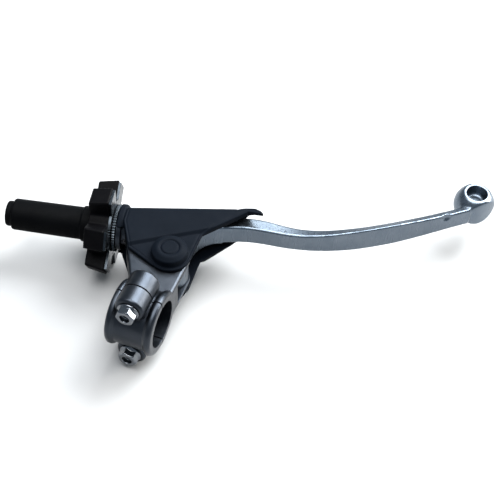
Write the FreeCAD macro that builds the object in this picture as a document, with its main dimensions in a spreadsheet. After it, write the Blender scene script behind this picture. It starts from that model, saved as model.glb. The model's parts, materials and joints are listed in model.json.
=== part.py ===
"""Clutch lever and perch for a 7/8 inch motorcycle handlebar, as a parametric FreeCAD document.

Frame, in millimetres: the origin is the centre of the handlebar seat at the two clamp bolts.
+X runs along the handlebar towards the lever's ball end, +Y runs forward from the bar to the lever,
and +Z is the lever's pivot axis, towards the head of the pivot bolt. The lever, the cable and the bar
all lie about the plane Z = 0, and the perch and its rubber cover are the same on both sides of it.
"""
import FreeCAD
import Part
import math
import os
import Sketcher

X_AXIS = FreeCAD.Vector(1, 0, 0)
Y_AXIS = FreeCAD.Vector(0, 1, 0)
Z_AXIS = FreeCAD.Vector(0, 0, 1)

# Largest distance, in millimetres, between two places that count as the same.
TOLERANCE = 1e-4

# Driving dimensions, in millimetres, degrees and counts.
DIMENSIONS = {
    # cuts: one that runs right through, and how far the others start outside the metal
    "through_cut": 40.0,
    "cut_overlap": 1.0,
    # handlebar clamp
    "bar_radius": 11.1,
    "clamp_left": -10.4,
    "clamp_right": 11.6,
    "clamp_rim_radius": 15.2,
    "clamp_waist_radius": 13.9,
    "clamp_rim_width": 4.2,
    "clamp_rim_round": 1.6,
    "clamp_rim_shoulder": 0.56,
    "clamp_gap": 0.6,
    "clamp_bolt_height": 15.4,
    "clamp_bolt_radius": 3.0,
    "clamp_boss_radius": 7.0,
    "clamp_boss_front": 9.6,
    "clamp_boss_back": 9.6,
    "clamp_boss_round": 1.5,
    "clamp_bolt_reach": 8.4,
    "clamp_hole_reach": 8.8,
    "thread_clearance": 0.05,
    "bolt_clearance": 0.3,
    # bolt heads
    "bolt_flange_radius": 5.4,
    "bolt_flange_thickness": 1.2,
    "bolt_flange_taper": 20.0,
    "bolt_hex_corner": 4.6,
    "bolt_hex_height": 3.4,
    "bolt_hex_turn": 12.0,
    "bolt_recess_radius": 2.3,
    "bolt_recess_depth": 2.2,
    # pivot
    "pivot_x": 2.2,
    "pivot_y": 31.0,
    "pivot_shoulder_radius": 4.0,
    "pivot_thread_radius": 3.0,
    "pivot_hex_corner": 5.6,
    "pivot_head_height": 4.0,
    "pivot_nut_height": 4.6,
    "pivot_thread_length": 7.8,
    "nut_insert_height": 1.2,
    "nut_insert_outer": 4.2,
    "pivot_clearance": 0.04,
    "pivot_washer_radius": 6.3,
    "pivot_washer_thickness": 0.8,
    "bush_radius": 5.5,
    "bush_clearance": 0.02,
    "thrust_washer_thickness": 0.5,
    "thrust_washer_radius": 8.2,
    "washer_side_clearance": 0.025,
    # perch arm
    "arm_half": 8.8,
    "arm_root": 5.0,
    "arm_edge_round": 1.2,
    "slot_half": 6.3,
    "ear_radius": 9.3,
    "slot_hub_radius": 9.2,
    "slot_stop_x": -6.85,
    # cable line and adjuster, measured along the cable from the foot of the pivot arm
    "cable_angle": 12.06,
    "cable_arm": 20.1,
    "snout_radius": 7.6,
    "snout_flange_radius": 10.2,
    "snout_flange_start": 26.0,
    "snout_end": 28.2,
    "snout_root": 12.0,
    "snout_counterbore_start": 21.8,
    "snout_counterbore_radius": 6.05,
    "key_bore_radius": 4.06,
    "key_bore_flat": 3.36,
    "key_bore_length": 30.0,
    # detent ring, balls and springs
    "detent_ring_radius": 11.3,
    "detent_ring_bore": 6.15,
    "detent_ring_start": 28.3,
    "detent_ring_end": 30.1,
    "detent_ball_radius": 1.2,
    "detent_pocket_radius": 1.25,
    "detent_circle_radius": 8.2,
    "detent_ball_height": 0.3,
    "detent_pocket_floor": 26.4,
    "detent_spring_radius": 1.0,
    "detent_spring_wire": 0.15,
    "detent_spring_coils": 3.0,
    "detent_spring_clearance": 0.1,
    # star wheel
    "wheel_start": 31.4,
    "wheel_end": 40.9,
    "wheel_root_radius": 14.3,
    "wheel_lobe_radius": 21.7,
    "wheel_lobe_width": 10.2,
    "wheel_lobes": 6.0,
    "wheel_lobe_turn": 0.0,
    "wheel_edge_round": 0.8,
    "wheel_boss_radius": 6.0,
    "wheel_boss_end": 48.5,
    "plate_start": 30.2,
    "plate_end": 31.35,
    "plate_margin": 0.5,
    "plate_bore": 6.03,
    "ball_track_depth": 0.6,
    "ball_track_half_width": 1.3,
    "sleeve_start": 22.0,
    "sleeve_radius": 6.0,
    "sleeve_tail_radius": 5.0,
    "sleeve_tail_end": 48.0,
    "sleeve_bore": 4.04,
    "screw_groove_start": 22.9,
    "screw_groove_end": 25.2,
    "screw_groove_radius": 5.2,
    "seal_groove_start": 26.6,
    "seal_groove_end": 28.0,
    "seal_groove_radius": 4.88,
    "seal_ring_radius": 5.46,
    "seal_wire_radius": 0.55,
    "screw_radius": 1.0,
    "screw_station": 24.05,
    "screw_tip": 5.3,
    "screw_socket_radius": 0.5,
    "screw_socket_depth": 1.0,
    "screw_clearance": 0.05,
    "screw_hole_length": 12.0,
    # cable barrel and boot
    "barrel_start": 12.6,
    "barrel_radius": 4.0,
    "barrel_flat": 3.3,
    "barrel_head_start": 56.0,
    "barrel_head_end": 61.0,
    "barrel_head_radius": 6.1,
    "barrel_wire_radius": 1.3,
    "casing_seat_radius": 2.75,
    "casing_seat_depth": 8.0,
    "boot_start": 41.2,
    "boot_end": 82.7,
    "boot_collar_radius": 8.6,
    "boot_collar_width": 4.6,
    "boot_wide_radius": 7.85,
    "boot_narrow_radius": 7.55,
    "boot_tip_start": 79.0,
    "boot_tip_radius": 6.0,
    "boot_bore": 6.3,
    "boot_chamber_end": 76.5,
    "boot_edge": 0.8,
    "boot_tip_slope": 1.2,
    "boot_casing_hole": 3.0,
    # lever
    "neck_half": 5.75,
    "hub_radius": 8.6,
    "neck_right": 5.5,
    "neck_fillet_start": 13.2,
    "neck_fillet_radius": 16.0,
    "neck_shoulder_radius": 8.5,
    "nipple_radius": 4.1,
    "cable_slot_half": 1.6,
    "cable_slot_length": 16.0,
    "cable_slot_back": 2.6,
    "cable_slot_front": 9.0,
    "blade_chamfer": 0.9,
    "blade_run_out": 9.0,
    "ball_radius": 10.1,
    "ball_flat_height": 7.8,
    "ball_recess_radius": 5.1,
    "ball_recess_depth": 6.0,
    # rubber cover
    "cover_half": 10.8,
    "cover_raised_half": 12.2,
    "cover_inner_half": 9.0,
    "cover_front_round": 5.0,
    "cover_corner_radius": 9.9,
    "cover_tube_radius": 9.6,
    "cover_tube_bore": 7.75,
    "cover_tube_start": 20.0,
    "cover_disc_radius": 12.0,
    "cover_disc_start": 25.2,
    "cover_disc_end": 27.9,
    "cover_disc_wall": 0.7,
    "cover_disc_bore": 10.35,
    "cover_bore_start": 8.0,
    "cap_height": 15.5,
    "cap_top_radius": 6.1,
    "cap_chamfer_drop": 1.6,
    "cap_base_radius": 8.4,
    "cap_base_flare": 0.4,
    "cap_wall": 1.1,
    "cap_cavity_radius": 6.6,
    "cap_dimple_radius": 3.4,
    "cap_dimple_depth": 0.35,
}

# Corners of the free-form outlines in the plane Z = 0, as X and Y; those of the lever and the neck are
# counted from the pivot.
POINTS = {
    "arm_foot": (-9.8, 13.1),
    "arm_cable_low": (-23.6, 38.0),
    "arm_cable_high": (-24.0, 50.0),
    "arm_front": (-2.5, 58.2),
    "arm_ear_top": (3.82, 40.16),
    "slot_floor": (13.0, 17.5),
    "slot_open": (26.0, 62.0),
    "slot_front": (-6.85, 60.5),
    "cover_lower_left": (-17.2, 27.6),
    "cover_lower_right": (-2.5, 22.0),
    "cover_corner": (12.0, 32.0),
    "cover_notch": (11.8, 47.4),
    "cover_beak_root": (27.0, 68.0),
    "cover_beak_tip": (33.9, 69.6),
    "cover_beak_top": (30.8, 73.8),
    "cover_hump": (25.0, 73.0),
    "cover_dip": (21.4, 70.3),
    "cover_front_left": (-26.0, 51.7),
    "cover_left": (-25.2, 40.7),
    "step_left": (-17.8, 28.3),
    "step_right": (11.8, 49.3),
    "inner_right": (21.0, 68.6),
    "inner_left": (-27.0, 49.5),
    "neck_left_shoulder": (-8.6, 18.0),
    "neck_front_shoulder": (-2.6, 25.6),
    "neck_front_blade": (11.9, 34.1),
    "neck_rear_blade": (15.1, 27.9),
    "nipple": (-1.3, 20.3),
    "blade_guide_1": (44.0, 43.0),
    "blade_guide_2": (46.8, 20.4),
    "blade_end": (116.6, 80.2),
    "ball": (123.7, 96.0),
}

# Half height, thickness and front half height of the lever's blade, at equal steps along its rear face.
BLADE_SECTIONS = (
    (5.75, 7.0, 5.2),
    (5.4, 7.6, 4.9),
    (5.2, 7.6, 4.7),
    (5.2, 6.9, 4.4),
    (5.3, 6.1, 4.2),
    (5.85, 5.5, 4.2),
    (6.8, 5.1, 4.4),
    (6.9, 4.8, 4.4),
    (5.3, 4.6, 3.8),
)


class Size:
    """A number together with the sheet formula that gives it, so that sums of sizes stay parametric."""

    def __init__(self, value, formula=None):
        self.value = float(value)
        self.formula = formula or repr(float(value))

    def _joined(self, other, sign, value, swapped=False):
        first, second = (other, self) if swapped else (self, other)
        return Size(value, f"({first.formula} {sign} {second.formula})")

    def __add__(self, other):
        other = as_size(other)
        return self._joined(other, "+", self.value + other.value)

    __radd__ = __add__

    def __sub__(self, other):
        other = as_size(other)
        return self._joined(other, "-", self.value - other.value)

    def __rsub__(self, other):
        other = as_size(other)
        return self._joined(other, "-", other.value - self.value, swapped=True)

    def __mul__(self, other):
        other = as_size(other)
        return self._joined(other, "*", self.value * other.value)

    __rmul__ = __mul__

    def __truediv__(self, other):
        other = as_size(other)
        return self._joined(other, "/", self.value / other.value)

    def __neg__(self):
        return Size(-self.value, f"(-{self.formula})")


def as_size(number):
    """A plain number as a Size; a Size stays as it is."""
    return number if isinstance(number, Size) else Size(number)


def cosine(angle):
    """Cosine of a Size in degrees."""
    return Size(math.cos(math.radians(angle.value)), f"cos({angle.formula} * 1 deg)")


def sine(angle):
    """Sine of a Size in degrees."""
    return Size(math.sin(math.radians(angle.value)), f"sin({angle.formula} * 1 deg)")


doc = FreeCAD.newDocument("clutch_lever")
sheet = doc.addObject("Spreadsheet::Sheet", "Sheet")
S = {}


def fill_sheet():
    """Write every driving number into the sheet as text with an alias, and name it in S."""
    cells = dict(DIMENSIONS)
    for name, corner in POINTS.items():
        cells[name + "_x"], cells[name + "_y"] = corner
    for number, section in enumerate(BLADE_SECTIONS, start=1):
        for word, value in zip(("half_height", "thickness", "front_half_height"), section):
            cells[f"blade_{word}_{number}"] = value
    for row, (alias, value) in enumerate(cells.items(), start=1):
        sheet.set(f"A{row}", alias)
        sheet.set(f"B{row}", repr(float(value)))
        sheet.setAlias(f"B{row}", alias)
        S[alias] = Size(value, f"Sheet.{alias}")
    doc.recompute()


def point(name):
    """A named corner as a pair of Sizes."""
    return S[name + "_x"], S[name + "_y"]


def from_pivot(name):
    """A named corner of the lever, moved from the pivot to the origin's frame."""
    x, y = point(name)
    return x + S["pivot_x"], y + S["pivot_y"]


# ---------------------------------------------------------------- sketches and features

def new_body(label, x=0.0, y=0.0, angle=0.0):
    """A body placed at X, Y and turned about Z, with its place bound to the sheet."""
    body = doc.addObject("PartDesign::Body", label)
    body.Label = label
    body.Placement = FreeCAD.Placement(FreeCAD.Vector(0, 0, 0), FreeCAD.Rotation(Z_AXIS, 1.0))
    body.setExpression("Placement.Base.x", as_size(x).formula)
    body.setExpression("Placement.Base.y", as_size(y).formula)
    body.setExpression("Placement.Rotation.Angle", f"{as_size(angle).formula} * 1 deg")
    return body


def new_sketch(body, name, plane, lift=0.0, shift=(0.0, 0.0), turn_axis=Z_AXIS, turn=None):
    """A sketch on one of the body's origin planes, lifted along its normal, shifted and turned."""
    sketch = body.newObject("Sketcher::SketchObject", name)
    support = next(item for item in body.Origin.OriginFeatures if item.Role == plane)
    sketch.AttachmentSupport = [(support, "")]
    sketch.MapMode = "FlatFace"
    rotation = FreeCAD.Rotation(turn_axis, turn.value if turn else 0.0)
    sketch.AttachmentOffset = FreeCAD.Placement(FreeCAD.Vector(0, 0, 0), rotation)
    for axis, distance in zip("xyz", (*shift, lift)):
        sketch.setExpression(f"AttachmentOffset.Base.{axis}", as_size(distance).formula)
    if turn:
        sketch.setExpression("AttachmentOffset.Rotation.Angle", f"{turn.formula} * 1 deg")
    return sketch


def bind(sketch, constraint, size):
    """Add a dimension to the sketch and bind it to the sheet."""
    index = sketch.addConstraint(constraint)
    sketch.setExpression(f"Constraints[{index}]", size.formula)


def pin(sketch, geometry, vertex, corner):
    """Fix one vertex of the sketch at a corner given as two Sizes."""
    for kind, size in zip(("DistanceX", "DistanceY"), corner):
        bind(sketch, Sketcher.Constraint(kind, -1, 1, geometry, vertex, size.value), size)


def arc_between(start, end, radius):
    """The short arc of a signed radius from start to end, positive when it runs anticlockwise."""
    chord = end - start
    half = chord.Length / 2
    height = math.sqrt(max(radius * radius - half * half, 0.0))
    side = FreeCAD.Vector(-chord.y, chord.x, 0).normalize() * math.copysign(height, radius)
    centre = start + chord * 0.5 + side
    first, last = (start, end) if radius > 0 else (end, start)
    angles = [math.atan2(place.y - centre.y, place.x - centre.x) for place in (first, last)]
    circle = Part.Circle(centre, Z_AXIS, abs(radius))
    return Part.ArcOfCircle(circle, angles[0], angles[1])


def outline(sketch, *corners):
    """A closed outline. A corner is (x, y), or (x, y, radius) where an arc leads to the next corner."""
    places = [tuple(as_size(value) for value in corner) for corner in corners]
    vectors = [FreeCAD.Vector(place[0].value, place[1].value, 0) for place in places]
    count = len(places)
    ends = []
    for number, place in enumerate(places):
        start, end = vectors[number], vectors[(number + 1) % count]
        if len(place) == 2:
            sketch.addGeometry(Part.LineSegment(start, end), False)
            ends.append((1, 2))
        else:
            sketch.addGeometry(arc_between(start, end, place[2].value), False)
            ends.append((1, 2) if place[2].value > 0 else (2, 1))
    base = sketch.GeometryCount - count
    for number, place in enumerate(places):
        following = (number + 1) % count
        joint = (base + number, ends[number][1], base + following, ends[following][0])
        sketch.addConstraint(Sketcher.Constraint("Coincident", *joint))
        pin(sketch, base + number, ends[number][0], place[:2])
        if len(place) == 3:
            length = Size(abs(place[2].value), f"abs({place[2].formula})")
            bind(sketch, Sketcher.Constraint("Radius", base + number, length.value), length)
    return sketch


def circle(sketch, centre, radius):
    """A circle with its centre and radius bound to the sheet."""
    centre = tuple(as_size(value) for value in centre)
    radius = as_size(radius)
    place = FreeCAD.Vector(centre[0].value, centre[1].value, 0)
    index = sketch.addGeometry(Part.Circle(place, Z_AXIS, radius.value), False)
    bind(sketch, Sketcher.Constraint("Radius", index, radius.value), radius)
    pin(sketch, index, 3, centre)
    return sketch


def polygon(sketch, sides, corner_radius, centre=(0.0, 0.0), phase=0.0):
    """A regular polygon whose corners lie on a circle."""
    corners = []
    for number in range(sides):
        angle = math.radians(phase + 360.0 * number / sides)
        x = centre[0] + corner_radius * math.cos(angle)
        y = centre[1] + corner_radius * math.sin(angle)
        corners.append((x, y))
    return outline(sketch, *corners)


def feature(body, kind, sketch, **settings):
    """A PartDesign feature on a sketch; Sizes are bound, other settings are assigned."""
    item = body.newObject(f"PartDesign::{kind}", f"{sketch.Name}_{kind.lower()}")
    item.Profile = sketch
    for name, value in settings.items():
        if isinstance(value, Size):
            setattr(item, name, value.value)
            item.setExpression(name, value.formula)
        else:
            setattr(item, name, value)
    sketch.Visibility = False
    return item


def pad(body, sketch, length, **settings):
    return feature(body, "Pad", sketch, Length=as_size(length), **settings)


def symmetric_pad(body, sketch, half):
    return pad(body, sketch, as_size(half) * 2, SideType="Symmetric")


def pocket(body, sketch, length, **settings):
    return feature(body, "Pocket", sketch, Length=as_size(length), **settings)


def symmetric_pocket(body, sketch, half):
    return pocket(body, sketch, as_size(half) * 2, SideType="Symmetric")


def turned(body, sketch, axis="H_Axis", kind="Revolution", **settings):
    """A full turn of the sketch about one of its own axes, added or, as a Groove, cut away."""
    return feature(body, kind, sketch, ReferenceAxis=(sketch, [axis]), **settings)


def rounded(body, base, radius, chooses, kind="Fillet"):
    """A fillet or chamfer on the edges of a feature that the test chooses."""
    doc.recompute()
    edges = [f"Edge{number}" for number, edge in enumerate(base.Shape.Edges, start=1) if chooses(edge)]
    item = body.newObject(f"PartDesign::{kind}", f"{base.Name}_{kind.lower()}")
    item.Base = (base, edges)
    size_name = "Radius" if kind == "Fillet" else "Size"
    item.setExpression(size_name, as_size(radius).formula)
    base.Visibility = False
    return item


def lies_at_height(height):
    """A test for edges that lie wholly at plus or minus a height."""
    def chooses(edge):
        return all(abs(abs(vertex.Z) - height.value) < TOLERANCE for vertex in edge.Vertexes)
    return chooses


def turned_body(label, *corners, **place):
    """A round piece: a body whose outline, in X and radius, turns about the body's X axis."""
    body = new_body(label, **place)
    sketch = outline(new_sketch(body, label + "_outline", "XY_Plane"), *corners)
    turned(body, sketch)
    return body


def ring_body(label, start, end, inner, outer, **place):
    """A plain ring along the body's X axis."""
    return turned_body(label, (start, inner), (end, inner), (end, outer), (start, outer), **place)


def pivot_ring(label, low, high, inner, outer):
    """A plain ring about the pivot axis."""
    body = new_body(label, x=S["pivot_x"], y=S["pivot_y"])
    sketch = new_sketch(body, label + "_ring", "XY_Plane", lift=low)
    circle(circle(sketch, (0.0, 0.0), outer), (0.0, 0.0), inner)
    pad(body, sketch, as_size(high) - low)
    return body


def group(label, *pieces):
    """Several separate solids of the same kind in one node."""
    compound = doc.addObject("Part::Compound", label)
    compound.Label = label
    compound.Links = list(pieces)
    for piece in pieces:
        piece.Visibility = False
    return compound


def mirrored(piece, label):
    """The same piece on the other side of the plane Z = 0."""
    mirror = doc.addObject("Part::Mirroring", label)
    mirror.Source = piece
    mirror.Normal = Z_AXIS
    return mirror


# ---------------------------------------------------------------- the cable line

def cable_foot():
    """Where the cable line passes closest to the pivot."""
    angle = S["cable_angle"]
    x = S["pivot_x"] - S["cable_arm"] * sine(angle)
    y = S["pivot_y"] + S["cable_arm"] * cosine(angle)
    return x, y


def cable_place():
    """Placement of the adjuster's pieces: their X axis runs inboard along the cable."""
    x, y = cable_foot()
    return {"x": x, "y": y, "angle": S["cable_angle"] + 180.0}


def cable_side_sketch(body, name):
    """A sketch in the plane Z = 0 whose X axis runs outboard along the cable."""
    return new_sketch(body, name, "XY_Plane", shift=cable_foot(), turn=S["cable_angle"])


def cable_cross_sketch(body, name, station):
    """A sketch across the cable line, at a distance inboard of its foot, that faces outboard."""
    x, y = cable_foot()
    angle = S["cable_angle"]
    along_x = x - station * cosine(angle)
    along_y = y - station * sine(angle)
    return new_sketch(body, name, "YZ_Plane", lift=along_x, shift=(along_y, 0.0),
                      turn_axis=Y_AXIS, turn=angle)


# ---------------------------------------------------------------- perch and clamp

def clamp_profile(sketch, side):
    """Half the clamp's section: rounded rims at both ends and a waist between them."""
    left, right = S["clamp_left"], S["clamp_right"]
    rim, waist = S["clamp_rim_radius"], S["clamp_waist_radius"]
    width, soft = S["clamp_rim_width"], S["clamp_rim_round"]
    shoulder = S["clamp_rim_shoulder"]
    arc = -side * soft
    return outline(
        sketch,
        (left, 0.0),
        (left, side * (rim - soft), arc),
        (left + soft, side * rim, arc),
        (left + soft * 2, side * (rim - shoulder)),
        (left + width, side * waist),
        (right - width, side * waist),
        (right - soft * 2, side * (rim - shoulder), arc),
        (right - soft, side * rim, arc),
        (right, side * (rim - soft)),
        (right, 0.0),
    )


def clamp_half(body, side, boss_length):
    """The half ring and its two bolt bosses on one side of the split; side is +1 in front, -1 behind."""
    ring = turned(body, clamp_profile(new_sketch(body, body.Name + "_ring", "XY_Plane"), side),
                  Angle=180.0, Midplane=True)
    radius, soft = S["clamp_boss_radius"], S["clamp_boss_round"]
    reach = side * boss_length
    for word, height in (("near", S["clamp_bolt_height"]), ("far", -S["clamp_bolt_height"])):
        boss = new_sketch(body, f"{body.Name}_{word}_boss", "YZ_Plane", shift=(0.0, height))
        outline(boss, (0.0, 0.0), (reach, 0.0), (reach, radius - soft, side * soft),
                (reach - side * soft, radius), (0.0, radius))
        turned(body, boss)
    return ring


def cut_bar_seat(body, side):
    """The round seat for the bar, and the half of the split gap on this side."""
    seat = circle(new_sketch(body, body.Name + "_seat", "YZ_Plane"), (0.0, 0.0), S["bar_radius"])
    through = S["through_cut"]
    symmetric_pocket(body, seat, through)
    outside = -side * S["cut_overlap"]
    face = side * S["clamp_gap"] / 2
    gap = new_sketch(body, body.Name + "_gap", "XY_Plane")
    outline(gap, (-through, outside), (through, outside), (through, face), (-through, face))
    symmetric_pocket(body, gap, through)


def bolt_holes(body, side, radius, depth):
    """Two holes along Y from the split plane."""
    holes = new_sketch(body, body.Name + "_bolt_holes", "XZ_Plane")
    for height in (S["clamp_bolt_height"], -S["clamp_bolt_height"]):
        circle(holes, (0.0, height), radius)
    return pocket(body, holes, depth, Reversed=side < 0)


def arm_outline(sketch):
    """The perch's arm from the clamp to the two ears and the cable nose."""
    pivot_x, pivot_y = S["pivot_x"], S["pivot_y"]
    ear = S["ear_radius"]
    return outline(
        sketch,
        (S["arm_foot_x"], S["arm_root"]),
        (pivot_x + ear, S["arm_root"]),
        (pivot_x + ear, pivot_y, ear),
        point("arm_ear_top"),
        point("arm_front"),
        point("arm_cable_high"),
        point("arm_cable_low"),
        point("arm_foot"),
    )


def slot_outline(sketch):
    """The lever's slot between the ears: round the hub, and open outboard and to the front."""
    pivot_x, pivot_y = S["pivot_x"], S["pivot_y"]
    hub = S["slot_hub_radius"]
    return outline(
        sketch,
        (pivot_x, pivot_y - hub),
        point("slot_floor"),
        point("slot_open"),
        point("slot_front"),
        (S["slot_stop_x"], pivot_y, hub),
    )


def make_perch_body():
    """Cast perch: front half of the clamp, arm, ears, and the nose that carries the adjuster."""
    body = new_body("perch_body")
    arm = symmetric_pad(body, arm_outline(new_sketch(body, "arm", "XY_Plane")), S["arm_half"])
    rounded(body, arm, S["arm_edge_round"], lies_at_height(S["arm_half"]))
    clamp_half(body, 1, S["clamp_boss_front"])
    nose = cable_side_sketch(body, "nose")
    root, flange, end = -S["snout_root"], -S["snout_flange_start"], -S["snout_end"]
    outline(nose, (root, 0.0), (root, S["snout_radius"]), (flange, S["snout_radius"]),
            (flange, S["snout_flange_radius"]), (end, S["snout_flange_radius"]), (end, 0.0))
    turned(body, nose)
    cut_bar_seat(body, 1)
    bolt_holes(body, 1, S["clamp_bolt_radius"] + S["thread_clearance"], S["clamp_hole_reach"])
    symmetric_pocket(body, slot_outline(new_sketch(body, "slot", "XY_Plane")), S["slot_half"])
    near = new_sketch(body, "near_ear_bore", "XY_Plane")
    circle(near, (S["pivot_x"], S["pivot_y"]), S["pivot_shoulder_radius"] + S["pivot_clearance"])
    pocket(body, near, S["through_cut"], Reversed=True)
    far = new_sketch(body, "far_ear_bore", "XY_Plane")
    circle(far, (S["pivot_x"], S["pivot_y"]), S["pivot_thread_radius"] + S["thread_clearance"])
    pocket(body, far, S["through_cut"])
    bore_nose(body)
    return body


def key_outline(sketch, radius, flat):
    """A round with one flat on its upper side, which keeps the cable barrel from turning."""
    half = Size(math.sqrt(radius.value ** 2 - flat.value ** 2),
                f"sqrt({radius.formula} * {radius.formula} - {flat.formula} * {flat.formula})")
    return outline(sketch, (half, flat), (-half, flat, radius), (0.0, -radius, radius))


def bore_nose(body):
    """Keyed bore for the cable barrel, counterbore for the wheel's sleeve, and the small holes."""
    counterbore = cable_side_sketch(body, "nose_counterbore")
    start, end = S["snout_counterbore_start"], S["snout_end"] + S["cut_overlap"]
    outline(counterbore, (-start, 0.0), (-start, S["snout_counterbore_radius"]),
            (-end, S["snout_counterbore_radius"]), (-end, 0.0))
    turned(body, counterbore, kind="Groove")
    key = cable_cross_sketch(body, "nose_key", S["snout_end"])
    key_outline(key, S["key_bore_radius"], S["key_bore_flat"])
    pocket(body, key, S["key_bore_length"], Reversed=True)
    pockets = cable_cross_sketch(body, "detent_pockets", S["snout_end"])
    for sign in (1, -1):
        circle(pockets, (0.0, sign * S["detent_circle_radius"]), S["detent_pocket_radius"])
    pocket(body, pockets, S["snout_end"] - S["detent_pocket_floor"], Reversed=True)
    screw = cable_side_sketch(body, "screw_hole")
    radius = S["screw_radius"] + S["screw_clearance"]
    inboard, outboard = -S["screw_station"] - radius, -S["screw_station"] + radius
    depth = -S["screw_hole_length"]
    outline(screw, (inboard, 0.0), (outboard, 0.0), (outboard, depth), (inboard, depth))
    return symmetric_pocket(body, screw, radius)


def make_clamp_cap():
    """Rear half of the clamp, with the two bosses that the bolt heads bear on."""
    body = new_body("clamp_cap")
    clamp_half(body, -1, S["clamp_boss_back"])
    cut_bar_seat(body, -1)
    radius = S["clamp_bolt_radius"] + S["bolt_clearance"]
    bolt_holes(body, -1, radius, S["clamp_boss_back"] + S["cut_overlap"])
    return body


def make_clamp_bolts():
    """Two flanged hexagon bolts with a socket, which close the clamp."""
    bolt = new_body("clamp_bolt")
    seat = S["clamp_boss_back"]
    height = S["clamp_bolt_height"]
    top = seat + S["bolt_flange_thickness"]
    shank = new_sketch(bolt, "bolt_shank", "XZ_Plane", lift=seat)
    circle(shank, (0.0, height), S["clamp_bolt_radius"])
    pad(bolt, shank, seat + S["clamp_bolt_reach"], Reversed=True)
    flange = new_sketch(bolt, "bolt_flange", "XZ_Plane", lift=seat)
    circle(flange, (0.0, height), S["bolt_flange_radius"])
    pad(bolt, flange, S["bolt_flange_thickness"], TaperAngle=-DIMENSIONS["bolt_flange_taper"])
    hexagon = polygon(new_sketch(bolt, "bolt_hexagon", "XZ_Plane", lift=top), 6, S["bolt_hex_corner"],
                      centre=(as_size(0.0), height), phase=DIMENSIONS["bolt_hex_turn"])
    pad(bolt, hexagon, S["bolt_hex_height"])
    recess = circle(new_sketch(bolt, "bolt_recess", "XZ_Plane", lift=top + S["bolt_hex_height"]),
                    (0.0, height), S["bolt_recess_radius"])
    pocket(bolt, recess, S["bolt_recess_depth"])
    return group("clamp_bolts", bolt, mirrored(bolt, "clamp_bolt_far"))


# ---------------------------------------------------------------- pivot

def make_pivot_bolt():
    """Shoulder bolt through both ears, with its head under the near cap."""
    body = new_body("pivot_bolt", x=S["pivot_x"], y=S["pivot_y"])
    ear = S["arm_half"]
    head = polygon(new_sketch(body, "pivot_head", "XY_Plane", lift=ear), 6, S["pivot_hex_corner"])
    pad(body, head, S["pivot_head_height"])
    shoulder = new_sketch(body, "pivot_shoulder", "XY_Plane", lift=ear)
    circle(shoulder, (0.0, 0.0), S["pivot_shoulder_radius"])
    pad(body, shoulder, ear + S["slot_half"], Reversed=True)
    thread = circle(new_sketch(body, "pivot_thread", "XY_Plane", lift=-S["slot_half"]),
                    (0.0, 0.0), S["pivot_thread_radius"])
    pad(body, thread, S["pivot_thread_length"], Reversed=True)
    return body


def make_pivot_fasteners():
    """Washer, hexagon nut and the nut's nylon locking ring, on the far ear."""
    washer_top = -S["arm_half"]
    nut_top = washer_top - S["pivot_washer_thickness"]
    nut_bottom = nut_top - S["pivot_nut_height"]
    inner = S["pivot_thread_radius"] + S["thread_clearance"]
    washer = pivot_ring("pivot_washer", nut_top, washer_top, inner + S["bolt_clearance"],
                        S["pivot_washer_radius"])
    nut = new_body("pivot_nut", x=S["pivot_x"], y=S["pivot_y"])
    blank = polygon(new_sketch(nut, "nut_hexagon", "XY_Plane", lift=nut_bottom), 6, S["pivot_hex_corner"])
    circle(blank, (0.0, 0.0), inner)
    pad(nut, blank, S["pivot_nut_height"])
    lock = new_sketch(nut, "nut_lock_seat", "XY_Plane", lift=nut_bottom)
    circle(lock, (0.0, 0.0), S["nut_insert_outer"])
    pocket(nut, lock, S["nut_insert_height"], Reversed=True)
    ring_top = nut_bottom + S["nut_insert_height"]
    insert = pivot_ring("pivot_nut_insert", nut_bottom, ring_top, inner,
                        S["nut_insert_outer"] - S["bush_clearance"])
    return washer, nut, insert


def make_pivot_bearing():
    """Bronze bush pressed in the lever's hub, and a thrust washer on each side of the hub."""
    half = S["neck_half"]
    inner = S["pivot_shoulder_radius"] + S["pivot_clearance"]
    bush = pivot_ring("pivot_bush", -half, half, inner, S["bush_radius"] - S["bush_clearance"])
    low = half + S["washer_side_clearance"]
    near = pivot_ring("thrust_washer", low, low + S["thrust_washer_thickness"], inner + S["bolt_clearance"],
                      S["thrust_washer_radius"])
    washers = group("thrust_washers", near, mirrored(near, "thrust_washer_far"))
    return bush, washers


# ---------------------------------------------------------------- lever

def blade_station(step):
    """Place and direction of the blade's rear face, on a cubic curve from the neck to the ball."""
    corners = [POINTS[name] for name in ("neck_rear_blade", "blade_guide_1", "blade_guide_2", "blade_end")]
    one = 1.0 - step
    weights = (one ** 3, 3 * one ** 2 * step, 3 * one * step ** 2, step ** 3)
    slopes = (-one ** 2, one ** 2 - 2 * one * step, 2 * one * step - step ** 2, step ** 2)
    place = [sum(weight * corner[axis] for weight, corner in zip(weights, corners)) for axis in (0, 1)]
    slope = [sum(weight * corner[axis] for weight, corner in zip(slopes, corners)) for axis in (0, 1)]
    return place, math.degrees(math.atan2(slope[1], slope[0]))


def blade_section(body, number, place, direction):
    """One cross-section: a flat rear face with chamfered edges, sloping to a lower front edge."""
    frame_x = place[0] + DIMENSIONS["pivot_x"]
    frame_y = place[1] + DIMENSIONS["pivot_y"]
    sketch = new_sketch(body, f"blade_section_{number}", "YZ_Plane", lift=frame_x, shift=(frame_y, 0.0),
                        turn_axis=Y_AXIS, turn=Size(direction))
    row = min(number, len(BLADE_SECTIONS))
    words = ("half_height", "thickness", "front_half_height")
    half, thick, front = (S[f"blade_{word}_{row}"] for word in words)
    chamfer = S["blade_chamfer"]
    upper = [(0.0, half - chamfer), (chamfer, half), (thick - chamfer, front), (thick, front - chamfer)]
    lower = [(x, -as_size(z)) for x, z in reversed(upper)]
    return outline(sketch, *upper, *lower)


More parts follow.
